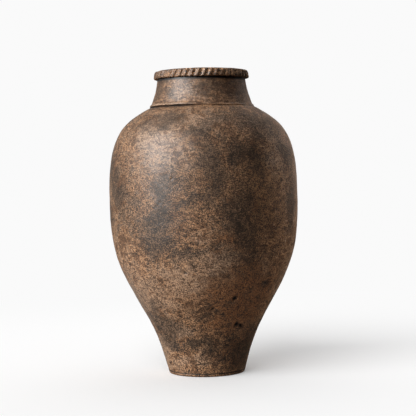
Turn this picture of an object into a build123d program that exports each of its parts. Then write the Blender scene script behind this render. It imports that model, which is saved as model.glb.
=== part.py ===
from build123d import *
import os
from math import atan2, cos, degrees, radians, sin

# A Greek pithos: a hand-built storage jar of fired clay, as the pieces that its potter forms and lutes together.
# A base disc carries six belts of wall, then a neck collar, a lip and a notched band round the lip.
# The axis is Z and the jar stands on Z = 0. Lengths are millimetres and angles are degrees.
# Sections are drawn as (radius, height) and turned once round the axis.

# Outer face of the wall, as stations from the floor to the root of the neck
FOOT_RADIUS = 113.5
FOOT_FLARE = 14.5  # lean of the wall, out from upright, where it leaves the floor
ANKLE_RADIUS = 159.0
ANKLE_HEIGHT = 137.0
HIP_RADIUS = 252.0
HIP_HEIGHT = 318.0
BELLY_RADIUS = 281.0
BELLY_HEIGHT = 548.0
SHOULDER_RADIUS = 243.0
SHOULDER_HEIGHT = 725.0
ROOT_RADIUS = 151.0
ROOT_HEIGHT = 793.5
SHOULDER_PITCH = 28.0  # rise of the shoulder, from level, where it meets the neck

# Wall, floor and the luted joints between the belts
WALL = 20.0
BASE_EDGE = 9.0  # the base disc's edge that shows below the first joint
JOINT_LAP = 10.0  # climb of a joint along the wall, from the outer face to the inner one
FOOT_BEVEL = 2.5
BELT_NAMES = ("foot_belt", "lower_belt", "hip_belt", "belly_belt", "upper_belt", "shoulder_belt")
COIL_REACH = 24.0  # of the corner coil, over the floor and up the wall
COIL_HOLLOW = 3.0

# Neck collar
NECK_HEIGHT = 82.5
NECK_TOP_RADIUS = 131.0
NECK_WALL = 19.0
NECK_HOLLOW = 3.6  # how far the collar's faces bow in from a straight cone
NECK_STEP = 3.2  # overhang of the collar past the shoulder
STEP_BEVEL = 1.2

# Lip and the notched band round it
LIP_HEIGHT = 24.0
LIP_ROUND = 6.0
BAND_HEIGHT = 23.0
BAND_LOWER_DEPTH = 12.5
BAND_UPPER_DEPTH = 8.5
BAND_LOWER_BEVEL = 3.0
BAND_UPPER_BEVEL = 2.0
NOTCH_COUNT = 48
NOTCH_RADIUS = 7.0
NOTCH_DEPTH = 4.5
NOTCH_SLANT = 20.0  # lean of a notch from upright, towards the right as it is seen


def outer_face():
    """The outer outline of the wall, one smooth curve through its stations."""
    stations = [
        (FOOT_RADIUS, 0),
        (ANKLE_RADIUS, ANKLE_HEIGHT),
        (HIP_RADIUS, HIP_HEIGHT),
        (BELLY_RADIUS, BELLY_HEIGHT),
        (SHOULDER_RADIUS, SHOULDER_HEIGHT),
        (ROOT_RADIUS, ROOT_HEIGHT),
    ]
    leaving_floor = (sin(radians(FOOT_FLARE)), cos(radians(FOOT_FLARE)))
    reaching_neck = (-cos(radians(SHOULDER_PITCH)), sin(radians(SHOULDER_PITCH)))
    return Spline(*stations, tangents=[leaving_floor, reaching_neck])


def outer_point(outer, along):
    """The point that far along the outer face, which runs on straight past its upper end."""
    spare = max(0.0, along - outer.length)
    start = min(along, outer.length)
    return outer.position_at(start, PositionMode.LENGTH) + outer.tangent_at(1) * spare


def inner_point(outer, along):
    """The point on the inside of the wall, square across from outer_point."""
    up = outer.tangent_at(min(along, outer.length), PositionMode.LENGTH)
    inwards = Vector(-up.Y, up.X)
    return outer_point(outer, along) + inwards * WALL


def joint_places(outer):
    """Distances along the outer face at which the joints start, from the base disc to the neck."""
    belt = (outer.length - BASE_EDGE) / len(BELT_NAMES)
    return [BASE_EDGE + belt * i for i in range(len(BELT_NAMES) + 1)]


def inner_face(outer, joints):
    """The inner outline of the wall, through the inner end of each joint and half way between them."""
    half_ways = [(low + high) / 2 for low, high in zip(joints, joints[1:])]
    places = sorted(joints + half_ways)
    points = [inner_point(outer, place + JOINT_LAP) for place in places]
    low_end = outer.tangent_at(places[0] + JOINT_LAP, PositionMode.LENGTH)
    return Spline(*points, tangents=[low_end, outer.tangent_at(1)])


def turned(outline):
    """One turn of a closed (radius, height) outline about the jar's axis."""
    return revolve(Plane.XZ * make_face(outline), Axis.Z)


def full_circles(piece):
    """The edges of a turned piece that run right round it."""
    return piece.edges().filter_by(GeomType.CIRCLE).filter_by(lambda edge: edge.is_closed)


def belt(outer, inner, low, high):
    """A ring of wall between two sloping joints, given by their distances along the outer face."""
    low_out, high_out = outer_point(outer, low), outer_point(outer, high)
    low_in, high_in = inner_point(outer, low + JOINT_LAP), inner_point(outer, high + JOINT_LAP)
    return turned(
        [
            outer.trim(low_out, high_out),
            Line(high_out, high_in),
            inner.trim(low_in, high_in),
            Line(low_in, low_out),
        ]
    )


def base_disc(outer, inner):
    """The floor of the jar, with its edge bevelled to carry the first belt."""
    joint_out, joint_in = outer_point(outer, BASE_EDGE), inner @ 0
    disc = turned(
        [
            Line((0, 0), outer @ 0),
            outer.trim(outer @ 0, joint_out),
            Line(joint_out, joint_in),
            Line(joint_in, (0, joint_in.Y)),
            Line((0, joint_in.Y), (0, 0)),
        ]
    )
    return chamfer(full_circles(disc).sort_by(Axis.Z)[0], FOOT_BEVEL)


def base_corner_coil(inner):
    """The roll of clay pressed into the corner between floor and wall, hollowed by the thumb."""
    corner = inner @ 0
    on_floor = corner - Vector(COIL_REACH, 0)
    on_wall = inner.position_at(COIL_REACH, PositionMode.LENGTH)
    return turned(
        [
            SagittaArc(on_floor, on_wall, -COIL_HOLLOW),
            inner.trim(corner, on_wall),
            Line(corner, on_floor),
        ]
    )


def neck_collar(outer, inner):
    """The flaring neck, lapped over the shoulder and standing a step proud of it."""
    top = ROOT_HEIGHT + NECK_HEIGHT
    mouth = NECK_TOP_RADIUS - NECK_WALL
    root_out, root_in = outer @ 1, inner @ 1
    step = root_out + Vector(NECK_STEP, 0)
    collar = turned(
        [
            Line(root_in, root_out),
            Line(root_out, step),
            SagittaArc(step, (NECK_TOP_RADIUS, top), NECK_HOLLOW),
            Line((NECK_TOP_RADIUS, top), (mouth, top)),
            SagittaArc((mouth, top), root_in, -NECK_HOLLOW),
        ]
    )
    return chamfer(full_circles(collar).sort_by(SortBy.RADIUS)[-1], STEP_BEVEL)


def ring(inner_radius, outer_radius, low, high):
    """A plain ring with upright sides."""
    corners = [(inner_radius, low), (outer_radius, low), (outer_radius, high), (inner_radius, high)]
    return turned(Polyline(*corners, close=True))


def lip_ring():
    """The top coil of the neck, flat on top to take a lid and rounded into the mouth."""
    low = ROOT_HEIGHT + NECK_HEIGHT
    lip = ring(NECK_TOP_RADIUS - NECK_WALL, NECK_TOP_RADIUS, low, low + LIP_HEIGHT)
    top_edges = full_circles(lip).group_by(Axis.Z)[-1]
    return fillet(top_edges.sort_by(SortBy.RADIUS)[0], LIP_ROUND)


def notched_band():
    """The clay strip round the lip, pressed all round with slanting notches like the lay of a rope."""
    low = ROOT_HEIGHT + NECK_HEIGHT
    high = low + BAND_HEIGHT
    lower_edge = NECK_TOP_RADIUS + BAND_LOWER_DEPTH
    upper_edge = NECK_TOP_RADIUS + BAND_UPPER_DEPTH
    corners = [(NECK_TOP_RADIUS, low), (lower_edge, low), (upper_edge, high), (NECK_TOP_RADIUS, high)]
    strip = turned(Polyline(*corners, close=True))
    bottom_edges = full_circles(strip).group_by(Axis.Z)[0]
    strip = chamfer(bottom_edges.sort_by(SortBy.RADIUS)[-1], BAND_LOWER_BEVEL)
    top_edges = full_circles(strip).group_by(Axis.Z)[-1]
    strip = chamfer(top_edges.sort_by(SortBy.RADIUS)[-1], BAND_UPPER_BEVEL)

    face_lean = degrees(atan2(lower_edge - upper_edge, BAND_HEIGHT))
    on_face = Pos((lower_edge + upper_edge) / 2, 0, (low + high) / 2) * Rot(Y=-face_lean)
    notch_axis = Pos(NOTCH_RADIUS - NOTCH_DEPTH, 0, 0) * Rot(X=-NOTCH_SLANT)
    notch = on_face * notch_axis * Cylinder(NOTCH_RADIUS, 2 * BAND_HEIGHT)
    pitch = 360 / NOTCH_COUNT
    return strip - [Rot(Z=pitch * i) * notch for i in range(NOTCH_COUNT)]


def pieces():
    """Every piece of the jar by name, from the floor up."""
    outer = outer_face()
    joints = joint_places(outer)
    inner = inner_face(outer, joints)
    made = {"base_disc": base_disc(outer, inner), "base_corner_coil": base_corner_coil(inner)}
    for name, low, high in zip(BELT_NAMES, joints, joints[1:]):
        made[name] = belt(outer, inner, low, high)
    made["neck_collar"] = neck_collar(outer, inner)
    made["lip_ring"] = lip_ring()
    made["notched_band"] = notched_band()
    return made


os.makedirs("parts", exist_ok=True)
for node, piece in pieces().items():
    export_step(piece, f"parts/{node}.step")
    print(node, "volume", round(piece.volume), "top", round(piece.bounding_box().max.Z, 2))
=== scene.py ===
# %% [markdown]
# # A Greek pithos, dressed in Blender
# The jar is a tall storage vessel of fired clay, raised by hand from a slab, six belts of wall, a collar,
# a lip and a notched band. The CAD model gives each of those pieces its exact place and size. Here each
# one gets the surface of an old pot: uneven walls, a pressed rim, soot, wear and grain. Lengths are
# metres throughout.

# %% The frame
import math

import bpy
import numpy as np
from mathutils import Matrix, Vector, noise as mist


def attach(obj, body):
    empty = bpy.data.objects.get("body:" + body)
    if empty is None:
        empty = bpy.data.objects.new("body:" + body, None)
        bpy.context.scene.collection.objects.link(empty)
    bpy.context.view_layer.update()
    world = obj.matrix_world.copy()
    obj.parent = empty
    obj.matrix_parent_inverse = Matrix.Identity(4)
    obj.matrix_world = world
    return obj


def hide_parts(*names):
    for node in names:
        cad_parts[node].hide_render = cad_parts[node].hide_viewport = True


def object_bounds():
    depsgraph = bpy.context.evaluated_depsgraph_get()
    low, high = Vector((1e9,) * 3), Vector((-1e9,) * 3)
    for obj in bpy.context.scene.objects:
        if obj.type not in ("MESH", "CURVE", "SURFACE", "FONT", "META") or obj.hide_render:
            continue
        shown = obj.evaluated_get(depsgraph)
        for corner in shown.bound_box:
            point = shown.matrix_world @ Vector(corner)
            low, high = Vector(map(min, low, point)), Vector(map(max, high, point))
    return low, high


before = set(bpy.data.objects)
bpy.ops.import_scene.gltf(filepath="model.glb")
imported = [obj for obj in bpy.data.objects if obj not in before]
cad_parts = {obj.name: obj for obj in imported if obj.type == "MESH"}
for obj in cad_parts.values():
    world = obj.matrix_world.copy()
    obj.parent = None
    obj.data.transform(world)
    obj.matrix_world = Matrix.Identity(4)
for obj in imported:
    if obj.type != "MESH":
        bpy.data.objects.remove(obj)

CAD_BOX = [list(corner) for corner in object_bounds()]
HEIGHT = CAD_BOX[1][2]
print("CAD nodes:", sorted(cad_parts), "height:", round(HEIGHT, 3))

# %% [markdown]
# ## The camera
# A long lens a few metres away sees the jar almost without perspective. The camera stands a little above
# the jar's belly line, so the mouth stays hidden, and it is turned by about a degree, so the jar leans in
# the frame. Working the angles out from picture rows and columns keeps the framing easy to correct.

# %% Camera
PICTURE = 416
FOCAL_PIXELS = 1187.0
SENSOR = 36.0
CAMERA_DISTANCE = 3.56
CAMERA_HEIGHT = 0.604
HORIZON_ROW = 170.1
AXIS_COLUMN = 203.9
ROLL = math.radians(1.15)

lens = bpy.data.cameras.new("camera")
lens.sensor_width = SENSOR
lens.lens = FOCAL_PIXELS * SENSOR / PICTURE
camera = bpy.data.objects.new("camera", lens)
bpy.context.scene.collection.objects.link(camera)
pitch = math.atan2(PICTURE / 2 - HORIZON_ROW, FOCAL_PIXELS)
yaw = math.atan2(PICTURE / 2 - AXIS_COLUMN, FOCAL_PIXELS)
look = Matrix.Rotation(-yaw, 4, "Z") @ Matrix.Rotation(math.pi / 2 - pitch, 4, "X")
camera.matrix_world = (
    Matrix.Translation((0, -CAMERA_DISTANCE, CAMERA_HEIGHT)) @ look @ Matrix.Rotation(-ROLL, 4, "Z")
)
bpy.context.scene.camera = camera
print("lens", round(lens.lens, 1), "mm, pitch", round(math.degrees(pitch), 2), "degrees")

# %% [markdown]
# ## Small helpers
# Every operator works on what is selected, so each step first selects one object and nothing else.


# %% Selecting
def only(piece):
    """Leaves edit mode and selects this object alone."""
    if bpy.context.object and bpy.context.object.mode != "OBJECT":
        bpy.ops.object.mode_set(mode="OBJECT")
    bpy.ops.object.select_all(action="DESELECT")
    piece.select_set(True)
    bpy.context.view_layer.objects.active = piece


def copy_of(node):
    """A free copy of a CAD node, with its own mesh."""
    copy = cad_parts[node].copy()
    copy.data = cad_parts[node].data.copy()
    bpy.context.scene.collection.objects.link(copy)
    only(copy)
    return copy


# %% [markdown]
# ## Tracing the wall
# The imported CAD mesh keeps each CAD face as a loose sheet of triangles. Splitting a copy of a belt into
# its loose sheets and sorting them by area gives the outer face first and the inner face second. Each
# belt's outline is then read off as radius against height, so the new skin follows the CAD model exactly.

# %% Outlines of the CAD faces
HEIGHT_DECIMALS = 5


def cad_faces(node):
    """The faces of a CAD node as (radius, height) rows going up, the largest face first."""
    copy_of(node)
    bpy.ops.mesh.separate(type="LOOSE")
    sheets = sorted(bpy.context.selected_objects, key=lambda s: -sum(f.area for f in s.data.polygons))
    faces = []
    for sheet in sheets:
        points = np.array([vertex.co for vertex in sheet.data.vertices])
        heights, first = np.unique(points[:, 2].round(HEIGHT_DECIMALS), return_index=True)
        faces.append(np.column_stack([np.hypot(points[first, 0], points[first, 1]), heights]))
    bpy.ops.object.delete()
    return faces


def even_steps(rows, count):
    """count + 1 points at even steps along an outline of (radius, height) rows."""
    steps = np.hypot(*np.diff(rows, axis=0).T)
    travelled = np.concatenate([[0], np.cumsum(steps)])
    marks = np.linspace(0, travelled[-1], count + 1)
    return np.column_stack([np.interp(marks, travelled, rows[:, k]) for k in (0, 1)])


BELTS = ["foot_belt", "lower_belt", "hip_belt", "belly_belt", "upper_belt", "shoulder_belt"]
OUTER_ROWS = 52
INNER_ROWS = 12
outer_faces = {}
inner_faces = {}
for belt in BELTS:
    outer_faces[belt], inner_faces[belt] = cad_faces(belt)[:2]
outer_line = np.vstack([even_steps(outer_faces[belt], OUTER_ROWS)[:-1] for belt in BELTS])
outer_line = np.vstack([outer_line, outer_faces[BELTS[-1]][-1]])
inner_line = np.vstack([even_steps(inner_faces[belt], INNER_ROWS)[:-1] for belt in BELTS])
inner_line = np.vstack([inner_line, inner_faces[BELTS[-1]][-1]])
print("outer points", len(outer_line), "widest", outer_line[:, 0].max().round(4))
print("inner points", len(inner_line), "widest", inner_line[:, 0].max().round(4))

# %% [markdown]
# ## Turning the wall
# A potter turns a wall round an axis, and so does a lathe. One point is extruded along the outline, and
# the line is turned through a full circle. Spin would do it too, but with hundreds of steps it gets slow,
# and a Screw modifier with no climb makes the same skin at once. Outer and inner faces are turned
# together, and they are pressed uneven while they are still one skin, so that neighbouring belts keep a
# common edge when the skin is cut into belts later.

# %% Drawing and turning
COLUMNS = 640
WELD = 1e-5
SCRAP = 0.01


def new_drawing(name):
    """An empty mesh object, open in edit mode."""
    bpy.ops.object.select_all(action="DESELECT")
    bpy.ops.mesh.primitive_plane_add(size=SCRAP)
    piece = bpy.context.object
    piece.name = name
    bpy.ops.object.mode_set(mode="EDIT")
    bpy.ops.mesh.select_mode(type="VERT")
    bpy.ops.mesh.delete(type="VERT")
    return piece


def draw_line(points):
    """A chain of edges through (radius, height) points, drawn by extruding one point."""
    bpy.ops.mesh.select_all(action="DESELECT")
    bpy.ops.mesh.primitive_plane_add(size=SCRAP)
    bpy.ops.mesh.merge(type="CENTER")
    bpy.ops.transform.translate(value=(points[0][0], 0, points[0][1]))
    for (r0, z0), (r1, z1) in zip(points, points[1:]):
        bpy.ops.mesh.extrude_region_move(TRANSFORM_OT_translate={"value": (r1 - r0, 0, z1 - z0)})


def turn_round(piece):
    """One full turn of everything drawn in a piece, welded where it closes."""
    only(piece)
    lathe = piece.modifiers.new("lathe", "SCREW")
    lathe.angle = 2 * math.pi
    lathe.steps = lathe.render_steps = COLUMNS
    bpy.ops.object.modifier_apply(modifier="lathe")
    bpy.ops.object.mode_set(mode="EDIT")
    bpy.ops.mesh.select_all(action="SELECT")
    bpy.ops.mesh.remove_doubles(threshold=WELD)
    bpy.ops.mesh.normals_make_consistent(inside=False)
    bpy.ops.object.mode_set(mode="OBJECT")


wall = new_drawing("wall")
draw_line(outer_line)
draw_line(inner_line)
turn_round(wall)
print("wall skin:", len(wall.data.polygons), "faces")

# %% [markdown]
# ## Marking the belts
# Before the skin is pressed out of shape, every face is still at its exact height, so this is the moment
# to say which belt it belongs to. A material slot per belt is a handy label, because Separate can cut by
# material.


# %% Belt labels
def wall_middle(height):
    """The radius half way through the wall at a height."""
    outer = np.interp(height, outer_line[:, 1], outer_line[:, 0])
    inner = np.interp(height, inner_line[:, 1], inner_line[:, 0])
    return (outer + inner) / 2


centres = np.array([face.center for face in wall.data.polygons])
face_height = centres[:, 2]
is_outer = np.hypot(centres[:, 0], centres[:, 1]) > wall_middle(face_height)
outer_edges = [outer_faces[belt][0][1] for belt in BELTS]
inner_edges = [inner_faces[belt][0][1] for belt in BELTS]
belt_number = np.where(
    is_outer,
    np.searchsorted(outer_edges, face_height) - 1,
    np.searchsorted(inner_edges, face_height) - 1,
)
for belt in BELTS:
    wall.data.materials.append(bpy.data.materials.new(belt))
wall.data.polygons.foreach_set("material_index", belt_number.astype(np.int32))
print("faces per belt:", np.bincount(belt_number).tolist())

# %% [markdown]
# ## Uneven clay
# A wall paddled and scraped by hand is never quite round. Displace modifiers with cloud textures push the
# skin in and out: slow swellings as wide as a palm, ripples as wide as a few fingers, and the grain that
# a scraper leaves. They stay near a millimetre, because the jar's outline is true to the eye.


# %% Pressing the skin
def press(piece, label, grain, depth):
    """Moves a skin in and out by up to half the depth, in lumps as wide as the grain."""
    texture = bpy.data.textures.new(label, type="CLOUDS")
    texture.noise_scale = grain
    dent = piece.modifiers.new(label, "DISPLACE")
    dent.texture = texture
    dent.texture_coords = "LOCAL"
    dent.strength = depth
    dent.mid_level = 0.5
    only(piece)
    bpy.ops.object.modifier_apply(modifier=label)


press(wall, "palm_swellings", grain=0.11, depth=0.0028)
press(wall, "finger_ripples", grain=0.03, depth=0.0011)
press(wall, "scraped_grain", grain=0.011, depth=0.0007)
print("pressed wall spans", [round(side, 4) for side in wall.dimensions])

# %% [markdown]
# ## Marks at a place on the jar
# Pits, stains and wear are all soft oval marks, kept as rows: the angle from the front in degrees, the
# height, half the width and half the height in metres, a tilt in degrees and a strength. The functions
# here turn rows of marks into one number per vertex. Stains are also pushed about by swirls of noise, so
# that they don't look like ovals, and the noise is seeded, because its generator starts from the clock
# otherwise.

# %% Places on the jar
SWIRLS = 16
SWIRL_OCTAVES = 3
SWIRL_FALLOFF = 0.6
SWIRL_SEED = 4
NEAR_AXIS = 0.02
FAINT = 0.02
TILTS = (-35, 35)
mist.seed_set(SWIRL_SEED)


def places(piece):
    """The angle of each vertex from the front (degrees, to the right), its height and its radius."""
    points = np.empty(len(piece.data.vertices) * 3)
    piece.data.vertices.foreach_get("co", points)
    x, y, z = points.reshape(-1, 3).T
    return np.degrees(np.arctan2(x, -y)), z, np.hypot(x, y)


def cover(spots, marks):
    """How much rows of soft oval marks cover each place. At its half width a mark has half its strength."""
    angle, height, radius = spots
    most = np.zeros(len(angle))
    for turn, level, half_width, half_height, tilt, strength in marks:
        across = np.radians((angle - turn + 180) % 360 - 180) * radius
        up = height - level
        lean = math.radians(tilt)
        along = across * math.cos(lean) + up * math.sin(lean)
        beside = up * math.cos(lean) - across * math.sin(lean)
        reach = (along / half_width) ** 2 + (beside / half_height) ** 2
        most = np.maximum(most, strength * 0.5**reach)
    return most


def smeared(piece, drift):
    """The places of a piece's vertices, pushed about by up to the drift in swirls some centimetres wide."""
    angle, height, radius = places(piece)
    swirl = [
        mist.turbulence_vector(vertex.co * SWIRLS, SWIRL_OCTAVES, False, amplitude_scale=SWIRL_FALLOFF)
        for vertex in piece.data.vertices
    ]
    push = np.array(swirl) * drift
    return angle + np.degrees(push[:, 0] / np.maximum(radius, NEAR_AXIS)), height + push[:, 2], radius


def ring(spots, level, half_height, strength=1.0):
    """How much a soft ring round the jar covers each place."""
    return strength * np.exp(-(((spots[1] - level) / half_height) ** 2))


def weigh(piece, label, weights):
    """Keeps a weight per vertex in a vertex group, for a modifier to work by."""
    group = piece.vertex_groups.new(name=label)
    for index in np.flatnonzero(weights > FAINT):
        group.add([int(index)], float(weights[index]), "REPLACE")


def press_in(piece, label, weights, depth, direction="NORMAL"):
    """Pushes each vertex back along its normal, or straight down along Z, by its weight times the depth."""
    weigh(piece, label, weights)
    dent = piece.modifiers.new(label, "DISPLACE")
    dent.vertex_group = label
    dent.direction = direction
    dent.strength = -depth
    dent.mid_level = 0
    only(piece)
    bpy.ops.object.modifier_apply(modifier=label)
    piece.vertex_groups.remove(piece.vertex_groups[label])


def scattered(chance, count, heights, half_widths, half_heights, strengths, angles=(-180, 180)):
    """Marks at random places, drawn evenly from each (low, high) range."""
    spans = (angles, heights, half_widths, half_heights, TILTS, strengths)
    return [tuple(chance.uniform(low, high) for low, high in spans) for _ in range(count)]


# %% [markdown]
# ## Pits
# Coarse clay has burnt-out specks that leave small craters. Each one is a patch of vertices with a weight
# that falls off from its middle, and one Displace modifier without a texture pushes them all in by their
# weights. A few sit where the jar shows them, and many small ones are scattered with a seeded generator,
# the same in every run.

# %% Craters
SCATTER_SEED = 11
PIT_DEPTH = 0.006
# How dark the pits are painted, per unit of their weight: painted shade in the craters
PIT_SHADE = 1.2
BIG_PITS = [
    (23, 0.237, 0.0072, 0.0055, 15, 0.9),
    (32, 0.155, 0.0065, 0.0060, 0, 1.0),
    (37, 0.152, 0.0070, 0.0050, -20, 0.8),
    (49, 0.279, 0.0120, 0.0080, 10, 0.5),
    (-13, 0.318, 0.0060, 0.0050, 0, 0.6),
    (6, 0.208, 0.0070, 0.0050, 25, 0.6),
]
chance = np.random.default_rng(SCATTER_SEED)
small_pits = scattered(
    chance,
    count=70,
    heights=(0.03, 0.60),
    half_widths=(0.0025, 0.0045),
    half_heights=(0.0025, 0.004),
    strengths=(0.12, 0.32),
)
wall_spots = places(wall)
wall_inside = wall_spots[2] < wall_middle(wall_spots[1])
pit_weights = np.where(wall_inside, 0, cover(wall_spots, BIG_PITS + small_pits))
press_in(wall, "pits", pit_weights, PIT_DEPTH)
print("vertices pressed into pits:", int((pit_weights > FAINT).sum()))

# %% [markdown]
# ## Stains
# Smoke, oil and long burial have left dark clouds, rubbed pale places and a little rust on the clay. A few
# of the dark clouds are painted shade, on the jar's shaded right, along its left edge and over part of its
# lit belly, and a few of the pale places are painted light and painted highlight on its lit left. Each
# stain is a soft oval, placed one by one where the front shows one and scattered over the sides and the
# back.
# They are kept as vertex attributes, so the material can fray their edges with noise, and they belong to
# the mesh wherever it goes. More attributes hold the dirt in the seams and notches, the painted shade in
# pits, notches, grooves and under the band, the cracked crust near the foot and the places polished by
# hands, and one tells the inside of the jar from the outside.

# %% Soot and painted shade
# Broad clouds first, then their dense hearts and streaks, and last the neck; the rows of painted shade are
# marked
SOOT_AND_SHADE = [
    (-32, 0.455, 0.090, 0.055, 15, 0.48),
    # Painted shade: a haze over the lit left of the belly, which the key lamp lights strongly
    (-50, 0.490, 0.120, 0.060, 0, 0.31),
    (22, 0.460, 0.055, 0.090, 0, 0.76),
    (25, 0.645, 0.060, 0.050, 0, 0.51),
    (-62, 0.550, 0.060, 0.080, 0, 0.40),
    (6, 0.600, 0.035, 0.090, -10, 0.68),
    (3, 0.690, 0.030, 0.050, 0, 0.55),
    (-35, 0.742, 0.100, 0.018, 5, 0.22),
    (0, 0.108, 0.140, 0.026, 0, 0.35),
    (-46, 0.140, 0.060, 0.050, 10, 0.40),
    (64, 0.500, 0.030, 0.080, 0, 0.60),
    (66, 0.630, 0.026, 0.050, 0, 0.30),
    (-20, 0.560, 0.080, 0.040, 0, 0.31),
    # Painted shade in the next three rows: the right shoulder, which the fill lamp lights, the low right
    # side, and the belly's left edge
    (40, 0.735, 0.080, 0.034, 0, 0.63),
    (58, 0.075, 0.060, 0.050, 0, 0.85),
    (-77, 0.620, 0.040, 0.050, 0, 0.74),
    (-28, 0.445, 0.024, 0.055, -12, 1.24),
    (-23, 0.405, 0.030, 0.014, 10, 0.94),
    (-30, 0.475, 0.030, 0.016, 20, 0.84),
    (-35, 0.400, 0.030, 0.014, 15, 0.74),
    (-25, 0.540, 0.026, 0.050, 0, 1.04),
    (18, 0.462, 0.020, 0.044, 15, 1.09),
    (24, 0.440, 0.036, 0.018, 0, 0.94),
    (26, 0.490, 0.020, 0.030, 20, 0.84),
    (25, 0.520, 0.036, 0.014, 0, 0.74),
    (26, 0.405, 0.026, 0.020, 0, 0.45),
    (-60, 0.540, 0.038, 0.032, 0, 1.30),
    (-68, 0.590, 0.030, 0.014, 0, 0.94),
    (-10, 0.514, 0.055, 0.010, 14, 0.84),
    (1, 0.538, 0.020, 0.012, 10, 0.94),
    (6, 0.590, 0.018, 0.045, -10, 0.84),
    (4, 0.650, 0.016, 0.030, 0, 0.50),
    (21, 0.640, 0.024, 0.030, 0, 1.04),
    (32, 0.635, 0.024, 0.028, 0, 0.99),
    (37, 0.694, 0.024, 0.014, 10, 0.89),
    (-42, 0.738, 0.050, 0.013, 6, 0.45),
    (-22, 0.748, 0.034, 0.014, 0, 0.84),
    (-4, 0.704, 0.034, 0.014, -6, 0.84),
    (16, 0.752, 0.050, 0.014, 0, 0.50),
    (47, 0.279, 0.018, 0.010, 0, 0.84),
    (4, 0.214, 0.016, 0.020, -20, 0.55),
    (-6, 0.194, 0.034, 0.010, 0, 0.50),
    (-48, 0.160, 0.038, 0.040, 15, 0.99),
    (-48, 0.112, 0.034, 0.030, 0, 0.85),
    (-7, 0.100, 0.060, 0.020, 0, 0.80),
    # Painted shade: the low right side, which lies in shade
    (30, 0.120, 0.034, 0.030, 0, 0.55),
    (-12, 0.372, 0.070, 0.007, -4, 0.62),
    (8, 0.388, 0.026, 0.012, 15, 0.74),
    (40, 0.440, 0.040, 0.024, 0, 0.22),
    (50, 0.360, 0.030, 0.014, 0, 0.25),
    (61, 0.650, 0.030, 0.030, 0, 0.74),
    (60, 0.040, 0.030, 0.020, 0, 0.74),
    (-15, 0.850, 0.090, 0.022, 0, 0.18),
    (25, 0.838, 0.070, 0.030, 0, 0.26),
    # Painted shade: the neck's left edge
    (-66, 0.850, 0.024, 0.030, 0, 0.80),
    (62, 0.840, 0.050, 0.040, 0, 0.78),
    (-48, 0.824, 0.018, 0.012, 0, 0.25),
    (12, 0.850, 0.034, 0.007, 0, 0.74),
    (18, 0.836, 0.040, 0.006, 0, 0.94),
    (12, 0.821, 0.040, 0.005, 0, 0.79),
    (20, 0.850, 0.026, 0.010, 0, 0.84),
    (44, 0.822, 0.040, 0.012, 0, 1.04),
    (42, 0.850, 0.026, 0.010, 0, 0.84),
    (-42, 0.832, 0.012, 0.010, 0, 0.74),
]
print("soot by hand:", len(SOOT_AND_SHADE), "marks")

# %% Rubbed, rusty and polished places, and painted light
PALE = [
    # Painted light: a wide pale haze over the lit left side
    (-70, 0.380, 0.150, 0.300, 0, 0.65),
    (-42, 0.240, 0.140, 0.070, 0, 0.90),
    (-10, 0.290, 0.120, 0.060, 0, 1.05),
    (-66, 0.340, 0.120, 0.110, 0, 0.70),
    # Painted highlight: the lit shoulder
    (-10, 0.745, 0.120, 0.035, 0, 1.00),
    (46, 0.620, 0.030, 0.050, 0, 0.60),
    (10, 0.340, 0.080, 0.050, 0, 1.10),
    # Painted highlight: the lit belly below the shoulder
    (-20, 0.640, 0.090, 0.050, 0, 0.60),
    (-20, 0.050, 0.120, 0.022, 0, 0.85),
    (-2, 0.762, 0.060, 0.018, 0, 1.00),
    # Painted highlight: the lit shoulder, paler and greyer
    (-32, 0.705, 0.100, 0.040, 0, 1.10),
    (-78, 0.210, 0.080, 0.090, 0, 1.00),
    # Painted light: the lower left edge
    (-74, 0.070, 0.070, 0.060, 0, 1.25),
    (-40, 0.590, 0.050, 0.014, 0, 0.60),
    # Painted highlight in the next two rows, which widen and grey the lit zone of the belly
    (-12, 0.625, 0.040, 0.030, 0, 0.60),
    (-50, 0.630, 0.070, 0.060, 0, 0.55),
    (-2, 0.412, 0.036, 0.022, 0, 1.00),
    (5, 0.450, 0.036, 0.020, 0, 0.60),
    (-12, 0.316, 0.050, 0.016, 0, 0.80),
    (4, 0.340, 0.050, 0.020, 0, 0.70),
    (10, 0.520, 0.030, 0.014, 0, 0.50),
    (38, 0.296, 0.014, 0.010, 0, 0.80),
    (-40, 0.245, 0.050, 0.030, 0, 0.60),
    (-25, 0.140, 0.045, 0.014, 0, 0.90),
    (-14, 0.045, 0.060, 0.020, 0, 0.35),
    (-30, 0.830, 0.040, 0.024, 0, 0.70),
    (-8, 0.835, 0.060, 0.030, 0, 0.85),
    (84, 0.290, 0.065, 0.110, 0, 1.40),
    (40, 0.335, 0.034, 0.032, 0, 0.75),
    (1, 0.830, 0.016, 0.026, 0, 1.10),
]
RUST = [
    (45, 0.330, 0.130, 0.260, 0, 0.38),
    (14, 0.408, 0.040, 0.016, 0, 1.30),
    (27, 0.385, 0.030, 0.014, 0, 0.80),
    (30, 0.250, 0.120, 0.080, 0, 1.40),
    (36, 0.195, 0.070, 0.050, 0, 1.25),
    (14, 0.180, 0.060, 0.050, 0, 0.95),
    (-20, 0.250, 0.080, 0.040, 0, 0.45),
    (-62, 0.330, 0.050, 0.040, 0, 0.40),
    (42, 0.085, 0.070, 0.060, 0, 1.10),
    (38, 0.835, 0.090, 0.035, 0, 0.70),
]
CRUST = [
    (-18, 0.150, 0.060, 0.040, 0, 0.60),
    (8, 0.215, 0.050, 0.030, 0, 0.70),
    (-12, 0.385, 0.060, 0.020, 0, 0.50),
    (30, 0.640, 0.060, 0.040, 0, 0.50),
    (-30, 0.400, 0.060, 0.040, 0, 0.50),
]
POLISH = [
    (-28, 0.680, 0.130, 0.090, 0, 0.50),
]
# Where the collar's bead and its groove are left as made, with a painted highlight and painted shade
KEPT = [
    (-68, 0.795, 0.060, 0.020, 0, 1.00),
    (-30, 0.795, 0.062, 0.020, 0, 1.00),
    (105, 0.795, 0.090, 0.020, 0, 0.80),
    (-160, 0.795, 0.090, 0.020, 0, 0.90),
]
print("marks by hand:", len(PALE), "pale,", len(RUST), "rusty,", len(CRUST), "crusted")

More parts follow.
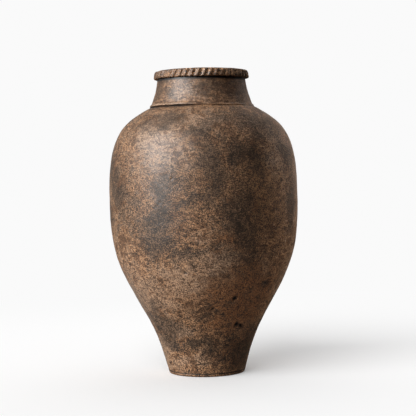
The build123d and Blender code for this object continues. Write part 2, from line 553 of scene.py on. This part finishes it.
# %% Stains at the sides and the back
UNSEEN = (75, 285)
FAR_SIDE = (112, 248)
WALL_HEIGHTS = (0.05, 0.78)
SOOT_AND_SHADE += scattered(chance, 16, WALL_HEIGHTS, (0.06, 0.12), (0.04, 0.10), (0.40, 0.62), FAR_SIDE)
SOOT_AND_SHADE += scattered(chance, 34, WALL_HEIGHTS, (0.02, 0.05), (0.012, 0.04), (0.50, 0.90), UNSEEN)
PALE += scattered(chance, 8, WALL_HEIGHTS, (0.08, 0.14), (0.04, 0.09), (0.7, 1.1), FAR_SIDE)
PALE += scattered(chance, 14, WALL_HEIGHTS, (0.03, 0.06), (0.012, 0.03), (0.5, 0.8), UNSEEN)
RUST += scattered(chance, 6, (0.08, 0.45), (0.05, 0.10), (0.03, 0.06), (0.6, 0.95), UNSEEN)
print("stains:", len(SOOT_AND_SHADE), "dark,", len(PALE), "pale,", len(RUST), "rusty")

# %% Painting them on
STAIN_DRIFT = 0.024
CRUSTED_FOOT = (0.060, 0.050)
SEAM_WIDTH = 0.0016
GROOVE_WIDTH = 0.0030
GROOVE_DROP = 0.0025


def paint(piece, label, values):
    """Keeps one number per vertex in an attribute."""
    layer = piece.data.attributes.new(label, "FLOAT", "POINT")
    layer.data.foreach_set("value", values.astype(np.float32))


def stain(piece, inside, dirt_and_shade=0.0, wear_and_highlight=0.0, polish=0.0):
    """Paints a piece: stains, soiling and painted shade, rubbing and painted highlight, polish, and which
    vertices face inside.
    """
    spots = smeared(piece, STAIN_DRIFT)
    paint(piece, "soot_and_shade", cover(spots, SOOT_AND_SHADE))
    paint(piece, "pale", np.maximum(cover(spots, PALE), wear_and_highlight))
    paint(piece, "rust", cover(spots, RUST))
    paint(piece, "crust", np.maximum(cover(spots, CRUST), ring(spots, *CRUSTED_FOOT)))
    paint(piece, "polish", np.maximum(cover(spots, POLISH), polish))
    paint(piece, "dirt_and_shade", np.zeros(len(inside)) + dirt_and_shade)
    paint(piece, "inside", inside)


# The seam at the foot is a dark joint. The pits and the groove under the collar's bead are darkened as
# painted shade.
seam = ring(wall_spots, outer_line[0][1], SEAM_WIDTH)
groove_shade = ring(wall_spots, outer_line[-1][1] - GROOVE_DROP, GROOVE_WIDTH) * cover(wall_spots, KEPT)
wall_dirt_and_shade = np.maximum.reduce([PIT_SHADE * pit_weights, seam, groove_shade])
stain(wall, wall_inside, dirt_and_shade=np.where(wall_inside, 0, wall_dirt_and_shade))
print("painted:", [layer.name for layer in wall.data.attributes if layer.data_type == "FLOAT"])

# %% [markdown]
# ## Cutting the belts
# Separate by material leaves each belt as two loose bands, outer and inner. Bridging their open edges at
# the top and at the bottom closes the belt with the sloping joint faces on which it is luted to its
# neighbours.


# %% Belts
def bridge_end(piece, upper):
    """Closes one end of a belt: joins its outer and inner edge loops with a sloping joint face."""
    only(piece)
    bpy.ops.object.mode_set(mode="EDIT")
    bpy.ops.mesh.select_mode(type="EDGE")
    bpy.ops.mesh.select_all(action="DESELECT")
    bpy.ops.mesh.select_non_manifold(
        use_wire=False, use_multi_face=False, use_non_contiguous=False, use_verts=False
    )
    bpy.ops.object.mode_set(mode="OBJECT")
    mesh = piece.data
    height = np.array([vertex.co.z for vertex in mesh.vertices])
    middle = (height.min() + height.max()) / 2
    for edge in mesh.edges:
        if edge.select and (height[edge.vertices[0]] > middle) != upper:
            edge.select = False
    bpy.ops.object.mode_set(mode="EDIT")
    bpy.ops.mesh.bridge_edge_loops()
    bpy.ops.object.mode_set(mode="OBJECT")


def close_skin(piece, smooth_angle=35):
    """Turns all faces outwards and shades the piece smooth, with hard edges past the angle."""
    only(piece)
    bpy.ops.object.mode_set(mode="EDIT")
    bpy.ops.mesh.select_all(action="SELECT")
    bpy.ops.mesh.normals_make_consistent(inside=False)
    bpy.ops.object.mode_set(mode="OBJECT")
    bpy.ops.object.shade_smooth_by_angle(angle=math.radians(smooth_angle))


only(wall)
bpy.ops.mesh.separate(type="MATERIAL")
pieces = {}
for part in bpy.context.selected_objects:
    belt = part.data.materials[0].name
    part.name = belt + "_clay"
    pieces[belt] = part
for belt, piece in pieces.items():
    bridge_end(piece, upper=False)
    bridge_end(piece, upper=True)
    close_skin(piece)
    print(piece.name, len(piece.data.polygons), "faces")

# %% [markdown]
# ## The collar
# The neck was made as a ring of its own and set over the shoulder, where its lower edge still stands
# proud as a low bead. Its section is drawn once round, outer face up and inner face down, and turned like
# the wall.

# %% Collar
COLLAR_ROWS = 60
STEP_EASE = 0.0008
BEAD_HEIGHT = 0.008
BEAD_SWELL = 0.0032
BEAD_SHARPNESS = 6
collar_outer, collar_inner = cad_faces("neck_collar")[:2]
root_outer, root_inner = outer_line[-1], inner_line[-1]
step_edge = np.array([collar_outer[0][0] - STEP_EASE, root_outer[1]])
collar_face = even_steps(collar_outer, COLLAR_ROWS)
climb = (collar_face[:, 1] - root_outer[1]) / BEAD_HEIGHT
collar_face[:, 0] += BEAD_SWELL * np.exp(-((climb - 0.5) ** 2) * BEAD_SHARPNESS)
collar_section = np.vstack(
    [root_inner, root_outer, step_edge, collar_face, even_steps(collar_inner[::-1], COLLAR_ROWS // 4)]
)
collar = new_drawing("neck_collar_clay")
draw_line(collar_section)
turn_round(collar)
press(collar, "collar_swellings", grain=0.08, depth=0.002)
press(collar, "collar_ripples", grain=0.022, depth=0.0009)
press(collar, "collar_grain", grain=0.011, depth=0.0006)
print("collar:", len(collar.data.polygons), "faces")

# %% [markdown]
# ## The wiped joint
# On the right the potter has wiped the joint under the collar smooth, so there the bead is pressed down
# into the shoulder by weights. Where the bead is left, its crest is painted pale as a highlight and the
# groove below it is painted dark as shade. A ring of painted shadow darkens the collar just under the band.
# The whole collar is polished by hands, which wears the speckle off and leaves brush streaks.

# %% Wiped joint
WIPED = [
    (26, 0.797, 0.060, 0.010, 0, 0.80),
    (62, 0.797, 0.060, 0.010, 0, 1.00),
    (160, 0.797, 0.090, 0.010, 0, 0.90),
    (-120, 0.797, 0.050, 0.010, 0, 0.85),
]
WIPE_DEPTH = 0.006
WIPED_NECK = 0.50
UNDERCUT_WIDTH, UNDERCUT_SHADE = 0.008, 1.2
CREASE_WIDTH, CREASE_SHADE = 0.0015, 1.0
BEAD_MIDDLE, BEAD_WIDTH, BEAD_HIGHLIGHT = 0.005, 0.003, 1.8
collar_spots = places(collar)
collar_inside = collar_spots[2] < 0.5 * (
    np.interp(collar_spots[1], collar_outer[:, 1], collar_outer[:, 0])
    + np.interp(collar_spots[1], collar_inner[:, 1], collar_inner[:, 0])
)
wiped = np.where(collar_inside, 0, cover(collar_spots, WIPED))
press_in(collar, "wiped", wiped, WIPE_DEPTH, direction="Z")
# Painted shade: a dark ring on the collar just under the band, and a dark crease at its root where the bead
# is kept. Painted highlight: the bead's crest, painted pale.
kept = cover(collar_spots, KEPT)
undercut_shade = ring(collar_spots, collar_outer[-1][1], UNDERCUT_WIDTH, UNDERCUT_SHADE)
crease_shade = ring(collar_spots, root_outer[1], CREASE_WIDTH, CREASE_SHADE) * kept
bead_highlight = ring(collar_spots, root_outer[1] + BEAD_MIDDLE, BEAD_WIDTH, BEAD_HIGHLIGHT) * kept
stain(collar, collar_inside, dirt_and_shade=np.maximum(undercut_shade, crease_shade), wear_and_highlight=bead_highlight, polish=WIPED_NECK)
close_skin(collar, smooth_angle=50)
pieces["neck_collar"] = collar
print("vertices wiped down:", int((wiped > FAINT).sum()))

# %% [markdown]
# ## The pressed band, the lip and the base
# These have crisp CAD edges that years of handling have rounded off. A copy of the CAD node is welded,
# remeshed into fine even quads, smoothed, and pressed a little uneven, so no two notches stay alike.

# %% Worn copies
SOFTENING = 0.5


def soften(piece, rounds, group=""):
    """Smooths a piece for some rounds, all over or by the weights of a vertex group."""
    rub = piece.modifiers.new("rub", "SMOOTH")
    rub.factor = SOFTENING
    rub.iterations = rounds
    rub.vertex_group = group
    only(piece)
    bpy.ops.object.modifier_apply(modifier="rub")


def worn_copy(node, voxel, smoothing, lump_grain, lump_depth):
    """A copy of a CAD node with rounded edges and uneven faces."""
    piece = copy_of(node)
    piece.name = node + "_clay"
    bpy.ops.object.mode_set(mode="EDIT")
    bpy.ops.mesh.select_all(action="SELECT")
    bpy.ops.mesh.remove_doubles(threshold=WELD)
    bpy.ops.object.mode_set(mode="OBJECT")
    remesh = piece.modifiers.new("remesh", "REMESH")
    remesh.mode = "VOXEL"
    remesh.voxel_size = voxel
    bpy.ops.object.modifier_apply(modifier="remesh")
    soften(piece, smoothing)
    press(piece, node + "_lumps", lump_grain, lump_depth)
    close_skin(piece, smooth_angle=60)
    pieces[node] = piece
    print(piece.name, len(piece.data.polygons), "faces")
    return piece


band = worn_copy("notched_band", voxel=0.001, smoothing=44, lump_grain=0.006, lump_depth=0.0028)
lip = worn_copy("lip_ring", voxel=0.0015, smoothing=5, lump_grain=0.02, lump_depth=0.0012)
base = worn_copy("base_disc", voxel=0.0018, smoothing=3, lump_grain=0.02, lump_depth=0.0008)
coil = worn_copy("base_corner_coil", voxel=0.002, smoothing=4, lump_grain=0.03, lump_depth=0.002)

# %% [markdown]
# ## The handled rim
# Long handling has rubbed the notches down in a few places, so they fade there. The band is smoothed once
# more by weights, which takes the ridges and the notches out of those places and leaves the others alone.

# %% Handled rim
RUBBED_RIM = [
    (30, 0.888, 0.038, 0.040, 0, 1.00),
    (-64, 0.888, 0.030, 0.040, 0, 0.80),
    (120, 0.888, 0.040, 0.040, 0, 0.90),
    (-150, 0.888, 0.030, 0.040, 0, 0.80),
]
RUBBING = 120
weigh(band, "rubbed", cover(places(band), RUBBED_RIM))
soften(band, RUBBING, group="rubbed")
band.vertex_groups.remove(band.vertex_groups["rubbed"])
print("rim spans", [round(side, 4) for side in band.dimensions])

# %% [markdown]
# ## The sole
# The board that a jar is built on leaves its underside flat. Remeshing and pressing have made the copy of
# the base a little uneven there, so its lowest vertices are selected and scaled flat onto the floor's
# level.

# %% Flat sole
SOLE = 0.0014
only(base)
bpy.ops.object.mode_set(mode="EDIT")
bpy.ops.mesh.select_mode(type="VERT")
bpy.ops.mesh.select_all(action="DESELECT")
bpy.ops.object.mode_set(mode="OBJECT")
for vertex in base.data.vertices:
    vertex.select = vertex.co.z < SOLE
bpy.ops.object.mode_set(mode="EDIT")
bpy.ops.transform.resize(value=(1, 1, 0), center_override=(0, 0, 0))
bpy.ops.object.mode_set(mode="OBJECT")
print("sole at", min(vertex.co.z for vertex in base.data.vertices))

# %% [markdown]
# ## Dirt, wear, painted shade and painted highlight on the rim and the base
# The ridges between the notches are rubbed pale, which also stands as a painted highlight on them, and the
# hollows are darkened by a little dirt and painted shade. How deep a vertex lies in a notch is measured
# from the outermost vertex at about its own height. The base has dirt in the seam under the first belt.
# The mouth and the jar's floor count as the inside.

# %% Stains on the worn copies
EDGE_EASE = 0.004
MOUTH_RADIUS = collar_inner[-1][0] + EDGE_EASE
FLOOR_RADIUS = outer_line[0][0] - EDGE_EASE
FLOOR_LEVEL = 0.012
NOTCH_LEVELS = 40
LEVEL_REACH = 0.001
NOTCH_START = 0.001
NOTCH_SHADE = 0.0025
# The ridges' pale is wear and painted highlight, and the notches' dark is dirt and painted shade
RIDGE_WEAR_AND_HIGHLIGHT = 0.5
NOTCH_DIRT_AND_SHADE = 0.10


def notch_shade(height, radius):
    """How deep each place on the band lies: 0 on a ridge and 1 down in a notch."""
    levels = np.linspace(height.min(), height.max(), NOTCH_LEVELS)
    ridges = [radius[np.abs(height - level) < LEVEL_REACH].max() for level in levels]
    depth = np.interp(height, levels, ridges) - radius
    return np.clip((depth - NOTCH_START) / NOTCH_SHADE, 0, 1)


for piece in (band, lip, base, coil):
    spots = places(piece)
    height, radius = spots[1:]
    in_mouth = (height > HEIGHT / 2) & (radius < MOUTH_RADIUS)
    on_floor = (height < HEIGHT / 2) & (height > FLOOR_LEVEL) & (radius < FLOOR_RADIUS)
    dirt_and_shade = np.where(on_floor, 0, ring(spots, outer_line[0][1], SEAM_WIDTH))
    wear_and_highlight = 0.0
    if piece is band:
        hollow = notch_shade(height, radius)
        dirt_and_shade = NOTCH_DIRT_AND_SHADE * hollow
        wear_and_highlight = RIDGE_WEAR_AND_HIGHLIGHT * (1 - hollow)
    stain(piece, in_mouth | on_floor, dirt_and_shade=dirt_and_shade, wear_and_highlight=wear_and_highlight)
    print(piece.name, "dirtiest", round(float(dirt_and_shade.max()), 2), "inside", int((in_mouth | on_floor).sum()))

# %% [markdown]
# ## Node helpers
# A material is a tree of nodes. These few functions add a node with its values and links in one line
# each, so the recipes further down read like recipes.


# %% Building node trees
def feed(tree, socket, value):
    """Links another node's socket to an input, or gives the input a plain value."""
    if isinstance(value, bpy.types.NodeSocket):
        tree.links.new(value, socket)
    else:
        socket.default_value = value


def add(tree, kind, inputs=None, **settings):
    """A shader node with its settings; each named input gets a value or another node's socket."""
    made = tree.nodes.new("ShaderNode" + kind)
    for name, value in settings.items():
        setattr(made, name, value)
    for name, value in (inputs or {}).items():
        feed(tree, made.inputs[name], value)
    return made


def noise(tree, place, scale, detail, roughness=0.6):
    """A cloud of noise with lumps about 1 / scale metres wide."""
    values = {"Vector": place, "Scale": scale, "Detail": detail, "Roughness": roughness}
    return add(tree, "TexNoise", values).outputs["Fac"]


def ramp(tree, value, low, high, to_low=0.0, to_high=1.0):
    """A smooth rise from to_low to to_high as the value goes from low to high."""
    ends = {"Value": value, "From Min": low, "From Max": high, "To Min": to_low, "To Max": to_high}
    return add(tree, "MapRange", ends, interpolation_type="SMOOTHSTEP").outputs["Result"]


def maths(tree, operation, first, second):
    """One sum of two values."""
    made = add(tree, "Math", operation=operation)
    feed(tree, made.inputs[0], first)
    feed(tree, made.inputs[1], second)
    return made.outputs["Value"]


def blend(tree, factor, first, second, mode="MIX"):
    """Two colours mixed by a factor."""
    made = add(tree, "Mix", data_type="RGBA", blend_type=mode)
    colour_a, colour_b = [socket for socket in made.inputs if socket.type == "RGBA"]
    feed(tree, made.inputs["Factor"], factor)
    feed(tree, colour_a, first)
    feed(tree, colour_b, second)
    return [socket for socket in made.outputs if socket.type == "RGBA"][0]


def vectors(tree, operation, *values):
    """One sum of vectors."""
    made = add(tree, "VectorMath", operation=operation)
    for socket, value in zip(made.inputs, values):
        feed(tree, socket, value)
    return made.outputs["Vector"]


def grey(level):
    """A grey as a colour with full alpha."""
    return (level, level, level, 1)


def new_group(name, inputs, outputs):
    """A node group with (name, type) sockets, and its input and output nodes."""
    group = bpy.data.node_groups.new(name, "ShaderNodeTree")
    for direction, sockets in (("INPUT", inputs), ("OUTPUT", outputs)):
        for label, kind in sockets:
            group.interface.new_socket(name=label, in_out=direction, socket_type="NodeSocket" + kind)
    return group, group.nodes.new("NodeGroupInput").outputs, group.nodes.new("NodeGroupOutput").inputs


# %% [markdown]
# ## The clay
# The fired clay is a warm brown, darker where it burnt and where shade is painted, and paler where it is
# rubbed and where light is painted. Up close it is a skin of tan ridges with dark grime in the crevices
# between them, a few millimetres apart, peppered with dark grit and pale flecks. Wide clouds, blotches and
# patches tint it, a brush has left level streaks, and fine cracks run through it. Each of those is a noise
# of its own scale. They make up a group, because the inside of the jar has clouds too.

# %% Grain
GRAIN = ("Ridge", "Fleck", "Pepper", "Clouds", "Blotches", "Patches", "Brushing", "Cracks")
grain, grain_in, grain_out = new_group(
    "clay_grain",
    inputs=[("Place", "Vector")],
    outputs=[(name, "Float") for name in GRAIN],
)
SWIRL_REACH = 0.05
WIPE_STRETCH = 1.5
BRUSH_STRETCH = 8
place = grain_in["Place"]
swirl = add(grain, "TexNoise", {"Vector": place, "Scale": 14, "Detail": 2}).outputs["Color"]
swirled = vectors(grain, "MULTIPLY_ADD", swirl, (SWIRL_REACH,) * 3, place)


def level_strokes(where, stretch):
    """Places squeezed in height, which draws noise out round the jar."""
    return add(grain, "Mapping", {"Vector": where, "Scale": (1, 1, stretch)}).outputs["Vector"]


strokes = level_strokes(swirled, WIPE_STRETCH)
scrapes = level_strokes(place, WIPE_STRETCH)
brush_marks = level_strokes(swirled, BRUSH_STRETCH)
clouds = ramp(grain, noise(grain, swirled, scale=11, detail=5), 0.30, 0.70)
blotches = ramp(grain, noise(grain, swirled, scale=30, detail=6, roughness=0.7), 0.34, 0.66)
patches = ramp(grain, noise(grain, strokes, scale=65, detail=5, roughness=0.7), 0.30, 0.70)
ridges = maths(grain, "SUBTRACT", noise(grain, scrapes, scale=240, detail=1, roughness=0.95), 0.5)
flecks = ramp(grain, noise(grain, place, scale=380, detail=3), 0.55, 0.68)
pepper = ramp(grain, noise(grain, place, scale=400, detail=0), 0.33, 0.43, 1.0, 0.0)
brushing = ramp(grain, noise(grain, brush_marks, scale=20, detail=5, roughness=0.65), 0.32, 0.68)
off_middle = maths(grain, "SUBTRACT", noise(grain, swirled, scale=48, detail=3), 0.5)
veins = maths(grain, "ABSOLUTE", off_middle, 0)
broken = ramp(grain, noise(grain, place, scale=70, detail=2), 0.48, 0.62)
cracks = maths(grain, "MULTIPLY", ramp(grain, veins, 0.008, 0.030, 1.0, 0.0), broken)
for value, label in zip((ridges, flecks, pepper, clouds, blotches, patches, brushing, cracks), GRAIN):
    grain.links.new(value, grain_out[label])
print("grain nodes:", len(grain.nodes))

# %% [markdown]
# ## Weathering
# A second group lays the stains over the grain, and with them the painted shade and painted highlight that
# share their attributes. Each stain's edge is frayed by the clouds, blotches and ridges that also tint the
# clay. Soot and painted shade darken the clay, and they also let the grime climb the ridges, so that such a
# place is above all a place with denser dark specks. Pale places, rubbed ones and painted highlights alike,
# keep less grime. Polished places lose the specks and show brush streaks instead.

# %% Colours of old clay
UMBER = (0.225, 0.103, 0.045, 1)
TAN = (0.67, 0.360, 0.177, 1)
# Dark for soot and for painted shade
SOOT_AND_SHADE_DARK = (0.048, 0.033, 0.025, 1)
# Pale for rubbed places, for painted highlight and for painted light
RUBBED_AND_HIGHLIT = (0.60, 0.405, 0.275, 1)
RUST_BROWN = (0.37, 0.140, 0.040, 1)
FLECK = (0.82, 0.50, 0.27, 1)
GRIME = (0.028, 0.016, 0.009, 1)
# Darkest, for dirt and for painted shade in pits, grooves, notches and under the band
DIRT_AND_SHADE_DARK = (0.014, 0.010, 0.008, 1)
HANDLED = grey(0.6)

# %% Mixing stains with the grain
MOTTLE_MEAN = 0.95
STAINS = ("Soot_and_shade", "Pale", "Rust", "Crust", "Dirt_and_shade", "Polish")
aged, aged_in, aged_out = new_group(
    "aged_clay",
    inputs=[("Place", "Vector")] + [(name, "Float") for name in STAINS],
    outputs=[("Color", "Color"), ("Roughness", "Float"), ("Height", "Float")],
)
skin = add(aged, "Group", {"Place": aged_in["Place"]}, node_tree=grain)
ridge, fleck, pepper, clouds, blotches, patches, brushing, cracks = [skin.outputs[name] for name in GRAIN]


def times(first, second):
    """The product of two values."""
    return maths(aged, "MULTIPLY", first, second)


def total(*parts):
    """The sum of (value, share) pairs."""
    value = 0.0
    for part, share in parts:
        value = maths(aged, "ADD", value, times(part, share))
    return value


def frayed(stain_value, low, high, most):
    """A stain's mask, from 0 to most, its edge dissolved by the clouds, the blotches and the ridges."""
    mottle = total((clouds, 0.6), (blotches, 0.8), (patches, 0.5), (ridge, -1.0), (stain_value, 1.0))
    return ramp(aged, mottle, low + MOTTLE_MEAN, high + MOTTLE_MEAN, 0.0, most)


# %% Body of the clay
SOOT_AND_SHADE_SHARE = 0.68
tone = ramp(aged, total((clouds, 0.5), (blotches, 0.7), (patches, 0.8), (brushing, 0.2)), 0.66, 1.45)
body = blend(aged, tone, UMBER, TAN)
body = blend(aged, aged_in["Polish"], body, HANDLED, "MULTIPLY")
body = blend(aged, frayed(aged_in["Pale"], 0.25, 1.0, 0.65), body, RUBBED_AND_HIGHLIT)
body = blend(aged, frayed(aged_in["Rust"], 0.25, 1.0, 0.85), body, RUST_BROWN)
sooted_and_shaded = frayed(aged_in["Soot_and_shade"], -0.16, 0.72, 1.0)
body = blend(aged, times(sooted_and_shaded, SOOT_AND_SHADE_SHARE), body, SOOT_AND_SHADE_DARK)
print("nodes up to the soot:", len(aged.nodes))

# %% Grime, grit, flecks, dirt and painted shade
PEPPER_SHARE = 0.95
FLECK_SHARE = 0.36
BARE_CRACKS, CRUST_CRACKS = 0.35, 0.9
# Pale places keep less grime, painted highlights as well as rubbed places
cleaned_and_highlit = ramp(aged, aged_in["Pale"], 0.3, 1.5, 0.96, 0.40)
crest = ramp(aged, total((ridge, 1.0), (tone, 0.16), (sooted_and_shaded, -0.165)), -0.042, 0.022)
unpolished = ramp(aged, aged_in["Polish"], 0.0, 1.0, 1.0, 0.10)
crevice = times(maths(aged, "SUBTRACT", 1.0, crest), unpolished)
streaks = times(ramp(aged, brushing, 0.15, 0.60, 0.8, 0.0), aged_in["Polish"])
grimed = blend(aged, times(crevice, cleaned_and_highlit), body, GRIME)
grimed = blend(aged, times(times(pepper, unpolished), PEPPER_SHARE), grimed, GRIME)
grimed = blend(aged, streaks, grimed, GRIME)
flecked = blend(aged, times(fleck, FLECK_SHARE), grimed, FLECK)
cracking = maths(aged, "ADD", times(aged_in["Crust"], CRUST_CRACKS), BARE_CRACKS)
# Cracks, and the attribute's dirt and painted shade
dirt_and_shade = maths(aged, "MAXIMUM", times(cracks, cracking), aged_in["Dirt_and_shade"])
dirty_and_shaded = blend(aged, ramp(aged, dirt_and_shade, 0.1, 0.9), flecked, DIRT_AND_SHADE_DARK)
print("nodes up to the dirt:", len(aged.nodes))

# %% What the group gives
CREVICE_ROUGHNESS, CREST_ROUGHNESS = 0.72, 0.58
aged.links.new(dirty_and_shaded, aged_out["Color"])
roughness = ramp(aged, crest, 0.0, 1.0, CREVICE_ROUGHNESS, CREST_ROUGHNESS)
aged.links.new(roughness, aged_out["Roughness"])
relief = total((crest, 0.7), (patches, 0.5), (blotches, 0.8), (brushing, 0.8), (dirt_and_shade, -1.0))
aged.links.new(relief, aged_out["Height"])
print("groups:", [(group.name, len(group.nodes)) for group in (grain, aged)])

# %% [markdown]
# ## The material
# One material serves the whole jar. It reads the stains from the mesh, hands them to the weathering
# group, and mixes in a plainer raw clay where the attribute says that the face is inside the jar. A rough
# coat stands for the polish of long handling, which gives an old pot its broad soft sheen, and the
# group's height makes a fine bump.

# %% Fired clay
RAW_CLAY = (0.30, 0.17, 0.10, 1)
clay = bpy.data.materials.new("fired_clay")
clay.use_nodes = True
tree = clay.node_tree
spot = add(tree, "TexCoord").outputs["Object"]
old = add(tree, "Group", {"Place": spot}, node_tree=aged)
for label in STAINS:
    tree.links.new(add(tree, "Attribute", attribute_name=label.lower()).outputs["Fac"], old.inputs[label])
raw = add(tree, "Group", {"Place": spot}, node_tree=grain)
raw_colour = blend(tree, raw.outputs["Clouds"], RAW_CLAY, UMBER)
indoors = add(tree, "Attribute", attribute_name="inside").outputs["Fac"]
shader = tree.nodes["Principled BSDF"]
tree.links.new(blend(tree, indoors, old.outputs["Color"], raw_colour), shader.inputs["Base Color"])
tree.links.new(old.outputs["Roughness"], shader.inputs["Roughness"])
shader.inputs["Coat Weight"].default_value = 1.0
shader.inputs["Coat Roughness"].default_value = 0.50
shader.inputs["Coat IOR"].default_value = 1.62
shader.inputs["Specular IOR Level"].default_value = 0.2
bump = add(tree, "Bump", {"Strength": 0.6, "Distance": 0.0009, "Height": old.outputs["Height"]})
tree.links.new(bump.outputs["Normal"], shader.inputs["Normal"])
print("material nodes:", len(tree.nodes))

# %% Dressing the pieces
for node, piece in pieces.items():
    piece.data.materials.clear()
    piece.data.materials.append(clay)
    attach(piece, "root")
    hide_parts(node)
print("dressed pieces:", len(pieces))

# %% [markdown]
# ## Stage and light
# The jar stands on a round sheet of white paper. The paper is open under the foot, where the jar hides
# it, so that light reaches the underside and it can be looked at from below.

# %% Sheet of paper
FLOOR_GAP = 0.0003
PAPER_RADIUS = 9
PAPER_CORNERS = 96
HOLE_RADIUS = 0.109

bpy.ops.object.select_all(action="DESELECT")
bpy.ops.mesh.primitive_circle_add(
    vertices=PAPER_CORNERS, radius=PAPER_RADIUS, fill_type="NGON", location=(0, 0, -FLOOR_GAP)
)
floor = bpy.context.object
floor.name = "floor"
bpy.ops.object.mode_set(mode="EDIT")
bpy.ops.mesh.select_all(action="SELECT")
bpy.ops.mesh.inset(thickness=(PAPER_RADIUS - HOLE_RADIUS) * math.cos(math.pi / PAPER_CORNERS))
bpy.ops.mesh.delete(type="FACE")
bpy.ops.object.mode_set(mode="OBJECT")
print("floor:", len(floor.data.polygons), "faces")

# %% [markdown]
# ## How the paper looks
# To the camera the paper glows a little by itself, and the rest of its brightness comes from its lamp, so
# the jar's shadow falls on it. Further out it fades into the white world without a horizon. For light
# that bounces onto the jar it is a warm grey, and in the jar's sheen it is dark except on the left. From
# below it is clear.

# %% Paper
WHITE = grey(0.955)
PAPER_SEEN = grey(0.8)
PAPER_BOUNCE = (0.44, 0.38, 0.32, 1)
SHEEN_LEFT, SHEEN_RIGHT = grey(0.4), grey(0.03)
SHEEN_SPAN = (-0.8, -0.1)
FLOOR_GLOW = 0.155
FADE_START, FADE_END = 0.9, 2.2

paper = bpy.data.materials.new("paper")
paper.use_nodes = True
tree = paper.node_tree
tree.nodes.clear()
rays = add(tree, "LightPath").outputs
seen = maths(tree, "MAXIMUM", rays["Is Camera Ray"], rays["Is Transmission Ray"])
on_paper = add(tree, "TexCoord").outputs["Object"]
across = add(tree, "SeparateXYZ", {"Vector": on_paper}).outputs["X"]
in_sheen = blend(tree, ramp(tree, across, *SHEEN_SPAN, 1.0, 0.0), SHEEN_RIGHT, SHEEN_LEFT)
to_the_jar = blend(tree, rays["Is Glossy Ray"], PAPER_BOUNCE, in_sheen)
paper_colour = blend(tree, seen, to_the_jar, PAPER_SEEN)
lit = add(tree, "BsdfDiffuse", {"Color": paper_colour})
glow_level = maths(tree, "MULTIPLY", seen, FLOOR_GLOW)
glow = add(tree, "Emission", {"Color": grey(1), "Strength": glow_level})
near = add(tree, "AddShader")
tree.links.new(lit.outputs["BSDF"], near.inputs[0])
tree.links.new(glow.outputs["Emission"], near.inputs[1])
far = add(tree, "Emission", {"Color": WHITE, "Strength": seen})
reach = add(tree, "VectorMath", {"Vector": on_paper}, operation="LENGTH")
fade = add(tree, "MixShader", {"Fac": ramp(tree, reach.outputs["Value"], FADE_START, FADE_END)})
tree.links.new(near.outputs["Shader"], fade.inputs[1])
tree.links.new(far.outputs["Emission"], fade.inputs[2])
from_below = add(tree, "MixShader", {"Fac": add(tree, "NewGeometry").outputs["Backfacing"]})
tree.links.new(fade.outputs["Shader"], from_below.inputs[1])
tree.links.new(add(tree, "BsdfTransparent").outputs["BSDF"], from_below.inputs[2])
add(tree, "OutputMaterial", {"Surface": from_below.outputs["Shader"]})
floor.data.materials.append(paper)
print("paper nodes:", len(tree.nodes))

# %% [markdown]
# ## Lamps
# A broad key lamp from the left models the jar, and a fill from behind on the right lights its dark edge
# without adding sheen. The paper has a lamp of its own, linked to it alone, so its soft shadow can be set
# without changing the light on the jar.

# %% Lamps
FULL_LEVEL = math.pi


def soft_lamp(name, angle, rise, spread, level, lights):
    """A broad distant lamp at an angle from the front and a rise from level, for some of the objects."""
    lamp = bpy.data.lights.new(name, "SUN")
    lamp.energy = FULL_LEVEL * level
    lamp.angle = math.radians(spread)
    stand = bpy.data.objects.new(name, lamp)
    bpy.context.scene.collection.objects.link(stand)
    turn, lift = math.radians(angle), math.radians(rise)
    towards = Vector((math.sin(turn) * math.cos(lift), -math.cos(turn) * math.cos(lift), math.sin(lift)))
    stand.rotation_euler = towards.to_track_quat("Z", "Y").to_euler()
    lit_by_it = bpy.data.collections.new(name + "_receivers")
    for item in lights:
        lit_by_it.objects.link(item)
    stand.light_linking.receiver_collection = lit_by_it
    return stand


soft_lamp("key", angle=-58, rise=24, spread=38, level=1.24, lights=pieces.values())
fill = soft_lamp("fill", angle=136, rise=15, spread=50, level=0.84, lights=pieces.values())
fill.visible_glossy = False
soft_lamp("shadow_lamp", angle=-36, rise=34, spread=60, level=0.95, lights=[floor])

# %% [markdown]
# ## The room
# The world is white to the camera. To the jar it is a room that is dim in front and brighter behind and
# above, and dimmer still in the jar's sheen, because a white room would whiten the jar's edges.

# %% World
ROOM_FRONT, ROOM_BACK, ROOM_TOP = 0.05, 0.85, 0.4
ROOM_SHEEN = 0.22
# How far back or up a ray heads where the room starts to get brighter, and where it is brightest
BACKWARDS, UPWARDS, WELL_BACK = (-0.3, 0.9), (0.4, 1.0), (0.2, 0.95)
world = bpy.data.worlds.new("studio")
bpy.context.scene.world = world
world.use_nodes = True
tree = world.node_tree
rays = add(tree, "LightPath").outputs
seen = maths(tree, "MAXIMUM", rays["Is Camera Ray"], rays["Is Transmission Ray"])
heading = add(tree, "SeparateXYZ", {"Vector": add(tree, "TexCoord").outputs["Generated"]})
room = ramp(tree, heading.outputs["Y"], *BACKWARDS, ROOM_FRONT, ROOM_BACK)
room = maths(tree, "ADD", room, ramp(tree, heading.outputs["Z"], *UPWARDS, 0.0, ROOM_TOP))
sheen = ramp(tree, heading.outputs["Y"], *WELL_BACK, 0.0, ROOM_SHEEN)


def either(factor, first, second):
    """The first value where the factor is 0, the second where it is 1."""
    made = add(tree, "Mix", {"Factor": factor, "A": first, "B": second}, data_type="FLOAT")
    return made.outputs["Result"]


level = either(seen, either(rays["Is Glossy Ray"], room, sheen), WHITE[0])
background = tree.nodes["Background"]
background.inputs["Color"].default_value = grey(1)
tree.links.new(level, background.inputs["Strength"])
bpy.context.scene.view_settings.view_transform = "Standard"
print("room nodes:", len(tree.nodes))
